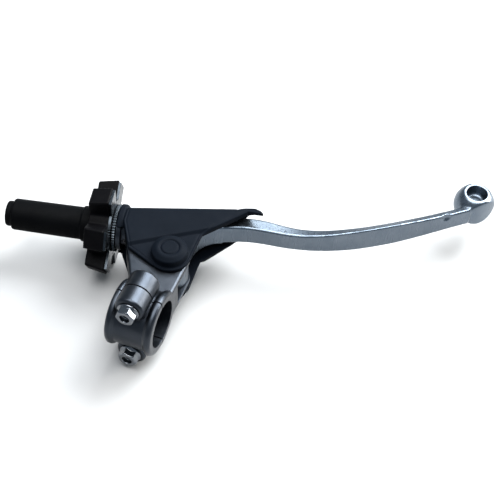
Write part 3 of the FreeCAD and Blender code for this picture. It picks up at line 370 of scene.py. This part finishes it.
COVER_CELL = 0.3
COVER_HALF = 10.8
COVER_RAISED = 1.4
COVER_BEVEL = 1.5
COVER_INNER_HALF = 9.0
COVER_INNER_ROUND = 1.2
COVER_CORNER = 9.9
COVER_FRONT_ROUND = 5.0
COVER_PANEL_ROUND = 0.7
COVER_EDGE = 0.35
COVER_STEP = ((-17.8, 28.3), (11.8, 49.3))
COVER_FRONT = ((-26.0, 51.7), (22.0, 70.6))
COVER_BEAK_START, COVER_BEAK_END = 21.5, 25.5
LIP_INSET, LIP_GROOVE, LIP_EDGE = 1.1, 0.3, 0.15

# Outlines of the front wall and of the two panels, which blend between the wall and each panel's outer face.
COVER_LOWER = [(-17.2, 27.6), (-2.5, 22.0), (12.0, 32.0)]
COVER_UPPER = [(20.0, 75.0), (-28.0, 56.0)]
COVER_BEAK = [(27.0, 68.0), (33.9, 69.2), (34.0, 69.8), (32.4, 71.0), (29.2, 71.5), (25.3, 70.0),
              (21.7, 68.2)]
COVER_NEAR = COVER_LOWER + [(11.8, 47.4)] + COVER_BEAK + COVER_UPPER + [(-25.2, 40.7)]
COVER_FAR = COVER_LOWER + [(10.9, 47.6), (22.4, 67.8), (22.0, 70.4)] + COVER_UPPER + [(-27.4, 40.4)]
COVER_WALL = COVER_LOWER + [(11.8, 47.4), (27.0, 68.0), (31.0, 74.1), (20.0, 69.8), (-28.0, 56.0),
                            (-26.0, 40.6)]
COVER_HOLLOW = [(-40.0, -10.0), (60.0, -10.0), (60.0, 86.5), (22.0, 69.0), (-27.0, 49.5), (-40.0, 49.5)]
BLEND_START, BLEND_DEPTH = 7.5, 3.0

# The free edge of the front wall is an arch: its tip, its slope, its height and how blunt it is.
MOUTH_TIP, MOUTH_SLOPE, MOUTH_HEIGHT, MOUTH_BLUNT = 20.3, 0.7, -3.0, 1.5

CAP_RADIUS, CAP_TOP, CAP_EDGE = 8.4, 15.5, 0.3
CAP_SHOULDER, CAP_DROP, CAP_SLOPE_EDGE = 2.3, 1.6, 0.35
CAP_RING, CAP_GROOVE, CAP_GROOVE_EDGE = 4.2, 0.45, 0.2
CAP_FOOT_ROUND = 0.5
CAP_HOLLOW_RADIUS, CAP_HOLLOW_HALF, CAP_HOLLOW_ROUND = 6.6, 14.4, 0.8

# The collar round the perch's nose, as radii and places along the cable.
TUBE_RADIUS, TUBE_START, TUBE_END = 9.6, 9.0, 27.0
TUBE_BORE, TUBE_BORE_START, TUBE_BORE_END = 7.75, 8.0, 26.0
DISC_RADIUS, DISC_START, DISC_END = 12.0, 22.8, 27.9
DISC_BORE, DISC_BORE_START, DISC_BORE_END = 10.35, 25.9, 31.0
CONE_END = 25.6
COLLAR_EDGE, CONE_EDGE, COLLAR_FILLET = 0.5, 0.3, 0.8


def cover_cap(x, y, z):
    """The round cap over the pivot bolt on one side and its nut on the other, with one plain ring on top."""
    out = np.hypot(x - PIVOT[0], y - PIVOT[1])
    past_shoulder = (out - CAP_RADIUS + CAP_SHOULDER) * CAP_DROP + (np.abs(z) - CAP_TOP) * CAP_SHOULDER
    slope = past_shoulder / math.hypot(CAP_SHOULDER, CAP_DROP)
    cap = meet(meet(out - CAP_RADIUS, np.abs(z) - CAP_TOP, CAP_EDGE), slope, CAP_SLOPE_EDGE)
    return cut(cap, np.hypot(out - CAP_RING, np.abs(z) - CAP_TOP) - CAP_GROOVE, CAP_GROOVE_EDGE)


def cover_collar(along, out):
    """The tube round the perch's nose, and the disc at its end that a cone leads up to."""
    tube = meet(out - TUBE_RADIUS, between(along, TUBE_START, TUBE_END), COLLAR_EDGE)
    cone = (out - DISC_RADIUS + np.maximum(CONE_END - along, 0.0)) * math.sqrt(0.5)
    disc = meet(out - DISC_RADIUS, between(along, DISC_START, DISC_END), COLLAR_EDGE)
    return join(tube, meet(disc, cone, CONE_EDGE))


def cover_hollow(x, y, z, along, out, to_pivot):
    """The space inside: between the panels, under the caps, and round the perch's nose."""
    mouth = MOUTH_TIP + MOUTH_SLOPE * np.hypot(z - MOUTH_HEIGHT, MOUTH_BLUNT) - x
    plan = np.minimum(polygon(x, y, COVER_HOLLOW), mouth)
    hollow = meet(plan, np.abs(z) - COVER_INNER_HALF, COVER_INNER_ROUND)
    hollow = join(hollow, meet(to_pivot - CAP_HOLLOW_RADIUS, np.abs(z) - CAP_HOLLOW_HALF, CAP_HOLLOW_ROUND))
    hollow = join(hollow, meet(out - TUBE_BORE, between(along, TUBE_BORE_START, TUBE_BORE_END)))
    return join(hollow, meet(out - DISC_BORE, between(along, DISC_BORE_START, DISC_BORE_END)))


def make_cover(material):
    """Soft cover: two panels and a front wall, with a bevelled step, a lip line, caps and a collar."""
    grid = x, y, z = grid_over("dust_cover", COVER_CELL)
    along, _, out = cable_coordinates(x, y, z)
    to_pivot = np.hypot(x - PIVOT[0], y - PIVOT[1])
    wall, near, far = (polygon(x, y, corners) for corners in (COVER_WALL, COVER_NEAR, COVER_FAR))
    outward = np.clip((np.abs(z) - BLEND_START) / BLEND_DEPTH, 0.0, 1.0)
    panel = join(wall + (np.where(z > 0.0, near, far) - wall) * outward, to_pivot - COVER_CORNER)
    rise = np.clip(beyond_line(x, y, *COVER_STEP) / COVER_BEVEL + 0.5, 0.0, 1.0)
    height = COVER_HALF + COVER_RAISED * rise
    into_beak = np.clip(x - COVER_BEAK_START, 0.0, COVER_BEAK_END - COVER_BEAK_START)
    front = beyond_line(x, y, *COVER_FRONT) - into_beak
    skin = meet(front, np.abs(z) - height, COVER_FRONT_ROUND)
    cover = meet(skin, panel, COVER_PANEL_ROUND)
    cover = cut(cover, np.hypot(panel + LIP_INSET, np.abs(z) - height) - LIP_GROOVE, LIP_EDGE)
    cover = join(cover, cover_cap(x, y, z), CAP_FOOT_ROUND)
    cover = join(cover, cover_collar(along, out), COLLAR_FILLET)
    cover = cut(cover, cover_hollow(x, y, z, along, out, to_pivot), COVER_EDGE)
    piece = surface_of("dust_cover_rubber", cover, grid, smoothing=3)
    finish_piece(piece, "dust_cover", "perch", material)


# ---------------------------------------------------------------- cable boot

# Places along the cable, radii and rounds of the boot.
BOOT_CELL = 0.3
BOOT_START, COLLAR_END, SHOULDER, BOOT_END = 41.2, 45.8, 79.0, 82.7
BOOT_COLLAR, BOOT_WIDE, BOOT_TAPER, BOOT_TIP = 8.6, 7.85, 0.3, 6.1
BOOT_TUBE_START, BOOT_TUBE_END, BOOT_TIP_START = 43.0, 79.6, 76.0
BOOT_BORE, BOOT_BORE_START, BOOT_BORE_END, CASING_HOLE = 6.35, 38.0, 76.0, 3.1
BOOT_COLLAR_ROUND, BOOT_TUBE_ROUND, BOOT_TIP_ROUND, BOOT_BORE_ROUND = 0.5, 0.9, 0.8, 1.0
BOOT_COLLAR_FILLET, BOOT_TIP_FILLET, BOOT_EDGE = 0.25, 0.3, 0.35


def make_boot(material):
    """Rubber boot over the barrel: collar, tapered tube and a stepped tip with the casing's hole."""
    grid = x, y, z = grid_over("cable_boot", BOOT_CELL)
    along, _, out = cable_coordinates(x, y, z)
    tube_radius = BOOT_WIDE - BOOT_TAPER * (along - COLLAR_END) / (SHOULDER - COLLAR_END)
    boot = meet(out - BOOT_COLLAR, between(along, BOOT_START, COLLAR_END), BOOT_COLLAR_ROUND)
    tube = meet(out - tube_radius, between(along, BOOT_TUBE_START, BOOT_TUBE_END), BOOT_TUBE_ROUND)
    boot = join(boot, tube, BOOT_COLLAR_FILLET)
    tip = meet(out - BOOT_TIP, between(along, BOOT_TIP_START, BOOT_END), BOOT_TIP_ROUND)
    boot = join(boot, tip, BOOT_TIP_FILLET)
    bore = meet(out - BOOT_BORE, between(along, BOOT_BORE_START, BOOT_BORE_END), BOOT_BORE_ROUND)
    boot = cut(boot, join(bore, out - CASING_HOLE), BOOT_EDGE)
    piece = surface_of("cable_boot_rubber", boot, grid, smoothing=2)
    finish_piece(piece, "cable_boot", "cable_stop", material)


# ---------------------------------------------------------------- star wheel and detent ring

WHEEL_CELL = 0.35
WHEEL_LOBES = 6
WHEEL_START, WHEEL_END = 31.4, 40.9
WHEEL_ROOT, WHEEL_REACH, WHEEL_TAPER = 14.3, 22.3, 0.19
LOBE_HALF, LOBE_ROUND = 5.1, 0.8
WHEEL_FACE_ROUND = 0.45
WHEEL_BOSS, WHEEL_BOSS_START, WHEEL_BOSS_END = 6.0, 39.0, 48.5
WHEEL_BOSS_ROUND, WHEEL_BOSS_FILLET = 0.4, 0.3
WHEEL_BORE = 5.02
RING_CELL = 0.22
RING_START, RING_END, RING_RADIUS, RING_BORE = 28.3, 30.1, 11.3, 6.15
RING_TEETH, RING_TOOTH_DEPTH, RING_EDGE = 54, 0.25, 0.2
DETENT_CIRCLE, DETENT_HOLE = 8.2, 1.25


def make_wheel(material):
    """Moulded star wheel with six square lobes and the boss that carries the boot."""
    grid = x, y, z = grid_over("adjuster_wheel", WHEEL_CELL)
    along, side, out = cable_coordinates(x, y, z)
    reach = WHEEL_REACH - WHEEL_TAPER * (along - WHEEL_START)
    star = out - WHEEL_ROOT
    for number in range(WHEEL_LOBES):
        angle = number * 2 * math.pi / WHEEL_LOBES
        across = side * math.cos(angle) + z * math.sin(angle)
        up = z * math.cos(angle) - side * math.sin(angle)
        lobe = meet(np.abs(across) - LOBE_HALF, between(up, 0.0, reach), LOBE_ROUND)
        star = join(star, lobe, LOBE_ROUND)
    wheel = meet(star, between(along, WHEEL_START, WHEEL_END), WHEEL_FACE_ROUND)
    boss = meet(out - WHEEL_BOSS, between(along, WHEEL_BOSS_START, WHEEL_BOSS_END), WHEEL_BOSS_ROUND)
    wheel = cut(join(wheel, boss, WHEEL_BOSS_FILLET), out - WHEEL_BORE)
    piece = surface_of("star_wheel_moulding", wheel, grid, smoothing=1)
    finish_piece(piece, "adjuster_wheel", "star_wheel", material)


def make_detent_ring(material):
    """Knurled aluminium ring that the detent balls look through."""
    grid = x, y, z = grid_over("detent_ring", RING_CELL)
    along, side, out = cable_coordinates(x, y, z)
    rim = out - RING_RADIUS + RING_TOOTH_DEPTH * (1.0 - np.cos(RING_TEETH * np.arctan2(side, z)))
    ring = cut(meet(rim, between(along, RING_START, RING_END), RING_EDGE), out - RING_BORE)
    ring = cut(ring, np.hypot(side, np.abs(z) - DETENT_CIRCLE) - DETENT_HOLE)
    piece = surface_of("detent_ring_knurled", ring, grid)
    finish_piece(piece, "detent_ring", "perch", material)


# ---------------------------------------------------------------- lever

BLADE_GUIDES = np.array([(15.1, 27.9), (44.0, 43.0), (46.8, 20.4), (116.6, 80.2)])
BLADE_HALF = (5.75, 5.4, 5.2, 5.2, 5.3, 5.85, 6.8, 6.9, 5.3)
BLADE_THICK = (7.0, 7.6, 7.6, 6.9, 6.1, 5.5, 5.1, 4.8, 4.6)
BLADE_FRONT_HALF = (5.2, 4.9, 4.7, 4.4, 4.2, 4.2, 4.4, 4.4, 3.8)
BLADE_CHAMFER = 0.9
BLADE_RUN_OUT = 9.0
BALL = (123.7, 96.0)
BALL_RADIUS = 10.1
BALL_FLAT = 7.8
FACET_CENTRE = (111.4, 107.8)
FACET_RADIUS = 24.4
NOTCH_CENTRE = (114.9, 75.8, 4.4)
NOTCH_RADIUS = 3.6


def eased(values, share):
    """Values at equal steps, joined by a smooth curve."""
    steps = np.linspace(0.0, 1.0, 161)
    line = np.interp(steps, np.linspace(0.0, 1.0, len(values)), values)
    window = np.hanning(19)
    padded = np.pad(line, 9, mode="reflect", reflect_type="odd")
    return np.interp(share, steps, np.convolve(padded, window / window.sum(), mode="valid"))


def blade_coordinates(x, y):
    """Share of the blade's length, distance forward of its rear face, and distance past its two ends."""
    steps = np.linspace(0.0, 1.0, 240)[:, None]
    one = 1.0 - steps
    weights = np.hstack([one ** 3, 3 * one ** 2 * steps, 3 * one * steps ** 2, steps ** 3])
    line = weights @ BLADE_GUIDES
    ahead = (line[-1] - line[-2]) / np.hypot(*(line[-1] - line[-2]))
    behind = (line[0] - line[1]) / np.hypot(*(line[0] - line[1]))
    shares = steps.ravel()
    nearest = np.full(np.broadcast(x, y).shape, np.inf)
    share, forward = np.zeros(nearest.shape), np.zeros(nearest.shape)
    run_out = np.vstack([line, line[-1] + ahead * BLADE_RUN_OUT])
    for number in range(len(run_out) - 1):
        start, run = run_out[number], run_out[number + 1] - run_out[number]
        length = np.hypot(*run)
        part = np.clip(((x - start[0]) * run[0] + (y - start[1]) * run[1]) / length ** 2, 0.0, 1.0)
        distance = np.hypot(x - start[0] - part * run[0], y - start[1] - part * run[1])
        closer = distance < nearest
        nearest = np.where(closer, distance, nearest)
        left = ((y - start[1]) * run[0] - (x - start[0]) * run[1]) / length
        forward = np.where(closer, left, forward)
        last = min(number + 1, len(shares) - 1)
        here = shares[min(number, last)] + part * (shares[last] - shares[min(number, last)])
        share = np.where(closer, here, share)
    past_end = (x - run_out[-1][0]) * ahead[0] + (y - run_out[-1][1]) * ahead[1]
    past_start = (x - line[0][0]) * behind[0] + (y - line[0][1]) * behind[1]
    return share, forward, np.maximum(past_end, past_start - 3.0)


def lever_blade(x, y, z):
    """Blade with a flat ground rear face, chamfered rear edges and a lower, rounded front."""
    share, forward, past = blade_coordinates(x, y)
    half, thick, front = (eased(v, share) for v in (BLADE_HALF, BLADE_THICK, BLADE_FRONT_HALF))
    sides = np.abs(z) - half + (half - front) * np.clip(forward / thick, 0.0, 1.0)
    blade = meet(forward - thick, sides, 1.1)
    blade = np.maximum(blade, -forward)
    chamfer = (np.abs(z) - half + BLADE_CHAMFER - forward) * math.sqrt(0.5)
    return np.maximum(np.maximum(blade, chamfer), past)


def lever_neck(x, y, z):
    """Hub round the pivot and the neck that carries the cable's nipple."""
    inner = arc((21.5, 13.2), 16.0, 180.0, 113.5)
    shoulder = arc((-0.1, 17.4), 8.5, 107.0, 176.0, 8)
    neck = polygon(x, y, [(5.5, 0.0)] + inner + [(11.9, 34.1), (-2.6, 25.6)] + shoulder + [(-8.6, 0.0)])
    plan = join(neck, np.hypot(x, y) - 8.6, 0.5)
    return meet(plan, np.abs(z) - 5.75, 0.5)


def make_lever(material):
    """Forged lever: hub, neck, blade and a ball end with a round recess."""
    grid = grid_over("lever_blade", 0.36)
    x, y, z = grid[0] - PIVOT[0], grid[1] - PIVOT[1], grid[2]
    to_ball = np.hypot(x - BALL[0], y - BALL[1])
    ball = meet(np.hypot(to_ball, z) - BALL_RADIUS, z - BALL_FLAT, 0.5)
    lever = join(lever_neck(x, y, z), lever_blade(x, y, z), 1.0)
    grind = np.hypot(x - FACET_CENTRE[0], y - FACET_CENTRE[1]) - FACET_RADIUS
    lever = join(lever, meet(ball, grind, 0.3), 1.2)
    notch_x, notch_y, notch_z = NOTCH_CENTRE
    notch = np.hypot(np.hypot(x - notch_x, y - notch_y), z - notch_z) - NOTCH_RADIUS
    lever = cut(lever, notch, 0.15)
    recess = meet(to_ball - 5.0, BALL_FLAT - 6.0 - z, 1.5)
    lever = cut(lever, recess, 0.45)
    nipple = np.hypot(x + 1.3, y - 20.3) - 4.1
    lever = cut(lever, nipple, 0.3)
    slope = INBOARD[1] / INBOARD[0]
    line = (y - 20.3) - (x + 1.3) * slope
    slot = meet(meet(between(line, -2.6, 9.0), x + 1.3), np.abs(z) - 1.6)
    lever = cut(lever, slot, 0.2)
    lever = cut(lever, np.hypot(x, y) - 5.5)
    piece = surface_of("lever_forging", lever, grid, smoothing=1)
    finish_piece(piece, "lever_blade", "lever", material)


# ---------------------------------------------------------------- clamp bolts

BOLT_CELL = 0.2
BOLT_INSET = 5.4
BOLT_HEAD_START, BOLT_FLANGE_START, BOLT_FLANGE_END, BOLT_END = -14.2, -10.8, -9.6, 8.3
BOLT_HEXAGON, BOLT_HEXAGON_TURNS, BOLT_HEXAGON_EDGE = 4.0, (42.0, 102.0, 162.0), 0.15
BOLT_CROWN, BOLT_CROWN_SLOPE, BOLT_CROWN_EDGE = 3.7, 1.6, 0.15
BOLT_FLANGE, BOLT_FLANGE_EDGE, BOLT_FLANGE_SINK = 5.15, 0.25, 0.3
BOLT_FLANGE_TOP, BOLT_FLANGE_SLOPE, BOLT_FLANGE_SCALE, BOLT_FLANGE_TOP_EDGE = 4.4, 1.5, 0.55, 0.1
BOLT_SHANK, BOLT_SHANK_SINK, BOLT_SHANK_EDGE, BOLT_FILLET = 2.9, 1.0, 0.4, 0.25
BOLT_DISH, BOLT_DISH_DEPTH, BOLT_DISH_ROUND, BOLT_DISH_EDGE = 2.3, 2.2, 0.4, 0.3


def make_bolts(material):
    """Two flanged hexagon bolts with a dished head."""
    grid = x, y, z = grid_over("clamp_bolts", BOLT_CELL)
    _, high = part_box("clamp_bolts")
    height = np.abs(z) - (high.z / MM - BOLT_INSET)
    out = np.hypot(x, height)
    turns = np.radians(BOLT_HEXAGON_TURNS)
    hexagon = np.max([np.abs(x * math.cos(a) + height * math.sin(a)) for a in turns], axis=0)
    sides = between(y, BOLT_HEAD_START, BOLT_FLANGE_END)
    hexagon = meet(hexagon - BOLT_HEXAGON, sides, BOLT_HEXAGON_EDGE)
    crown = out - BOLT_CROWN + (BOLT_HEAD_START - y) * BOLT_CROWN_SLOPE
    head = meet(hexagon, crown / math.hypot(1.0, BOLT_CROWN_SLOPE), BOLT_CROWN_EDGE)
    washer = between(y, BOLT_FLANGE_START - BOLT_FLANGE_SINK, BOLT_FLANGE_END)
    washer = meet(out - BOLT_FLANGE, washer, BOLT_FLANGE_EDGE)
    slope = out - BOLT_FLANGE_TOP + (BOLT_FLANGE_START - y) * BOLT_FLANGE_SLOPE
    washer = meet(washer, slope * BOLT_FLANGE_SCALE, BOLT_FLANGE_TOP_EDGE)
    shank = between(y, BOLT_FLANGE_END - BOLT_SHANK_SINK, BOLT_END)
    shank = meet(out - BOLT_SHANK, shank, BOLT_SHANK_EDGE)
    dish = meet(out - BOLT_DISH, y - BOLT_HEAD_START - BOLT_DISH_DEPTH, BOLT_DISH_ROUND)
    bolt = cut(join(join(head, washer, BOLT_FILLET), shank), dish, BOLT_DISH_EDGE)
    piece = surface_of("clamp_bolt_pair", bolt, grid)
    finish_piece(piece, "clamp_bolts", "perch", material)


# ---------------------------------------------------------------- stage, light and camera

def soft_light(name, place, target, size, watts, colour):
    """A rectangular soft box at one place that faces another, in metres."""
    data = bpy.data.lights.new(name, "AREA")
    data.shape = "RECTANGLE"
    data.size, data.size_y = size
    data.energy = watts
    data.color = colour
    light = bpy.data.objects.new(name, data)
    light.location = place
    light.rotation_euler = (Vector(target) - Vector(place)).to_track_quat("-Z", "Y").to_euler()
    bpy.context.scene.collection.objects.link(light)


def make_stage(middle):
    """Pale floor under the object, an even sky and soft boxes."""
    floor_mesh = bpy.data.meshes.new("floor")
    size, level = 3.0, cad_box[0][2]
    corners = [(-size, -size, level), (size, -size, level), (size, size, level), (-size, size, level)]
    floor_mesh.from_pydata(corners, [], [(0, 1, 2, 3)])
    floor = bpy.data.objects.new("floor", floor_mesh)
    bpy.context.scene.collection.objects.link(floor)
    finish = Finish("pale_floor", (0.32, 0.32, 0.32), 0.0, 0.8)
    finish.tint(finish.noise(3.0, 2.0), (0.315, 0.315, 0.315), (0.325, 0.325, 0.325))
    floor_mesh.materials.append(finish.material)
    world = bpy.data.worlds.new("studio")
    world.use_nodes = True
    world.node_tree.nodes["Background"].inputs["Color"].default_value = (0.72, 0.86, 1.0, 1.0)
    world.node_tree.nodes["Background"].inputs["Strength"].default_value = 0.42
    bpy.context.scene.world = world
    soft_light("key", middle + Vector((0.28, 0.8, 0.93)), middle, (0.85, 0.8), 52.0, (0.95, 0.98, 1.0))
    soft_light("right", middle + Vector((0.91, 0.66, 0.42)), middle, (0.6, 0.75), 24.0, (1.0, 0.97, 0.92))
    soft_light("top", middle + Vector((-0.1, -0.15, 1.5)), middle, (1.2, 1.2), 40.0, (1.0, 1.0, 1.0))


def make_camera():
    """Camera at the photograph's place: azimuth, height and roll about the object's own frame."""
    azimuth, elevation, roll = (math.radians(a) for a in (16.6, 49.5, 4.45))
    data = bpy.data.cameras.new("camera")
    data.sensor_width = 36.0
    data.lens = 78.56
    camera = bpy.data.objects.new("camera", data)
    camera.location = (0.1288, -0.2659, 0.3931)
    view = Euler((math.pi / 2 - elevation, 0.0, azimuth), "XYZ").to_quaternion()
    camera.rotation_euler = (view @ Euler((0.0, 0.0, roll), "XYZ").to_quaternion()).to_euler()
    bpy.context.scene.collection.objects.link(camera)
    bpy.context.scene.camera = camera


def paint(material, *names):
    """Give CAD nodes a material."""
    for name in names:
        mesh = NODES[name].data
        mesh.materials.clear()
        mesh.materials.append(material)


def make_all():
    """Every material and detailed piece."""
    zinc = zinc_plate()
    anodised = machined_alloy("anodised_alloy", (0.03, 0.036, 0.042), (0.05, 0.058, 0.066))
    paint(cast_alloy(), "perch_body", "clamp_cap")
    paint(zinc, "pivot_bolt", "pivot_washer", "pivot_nut", "thrust_washers")
    paint(anodised, "wheel_star_plate")
    paint(machined_alloy("machined_alloy", (0.24, 0.25, 0.27), (0.3, 0.31, 0.33)), "cable_barrel")
    paint(plain_finish("white_nylon", (0.7, 0.7, 0.66), 0.0, 0.4), "pivot_nut_insert")
    paint(plain_finish("bronze", (0.55, 0.36, 0.18), 1.0, 0.35), "pivot_bush")
    paint(plain_finish("bearing_steel", (0.6, 0.6, 0.62), 1.0, 0.15), "detent_balls", "detent_springs")
    paint(plain_finish("brass", (0.7, 0.52, 0.25), 1.0, 0.3), "wheel_sleeve")
    paint(plain_finish("seal_rubber", (0.02, 0.02, 0.02), 0.0, 0.5), "sleeve_seal")
    paint(plain_finish("black_steel", (0.05, 0.05, 0.055), 1.0, 0.4), "retaining_screw")
    make_cover(rubber("cover_rubber_skin", (0.0018, 0.003, 0.0052), (0.0026, 0.004, 0.0066), 0.56, 0.7))
    make_boot(rubber("boot_rubber_skin", (0.0008, 0.0009, 0.0012), (0.0013, 0.0015, 0.0018), 0.5, 0.65))
    make_wheel(moulded_black())
    make_detent_ring(anodised)
    make_lever(forged_alloy())
    make_bolts(zinc)


bpy.context.scene.view_settings.view_transform = "Standard"
make_all()
make_stage((Vector(cad_box[0]) + Vector(cad_box[1])) / 2)
make_camera()
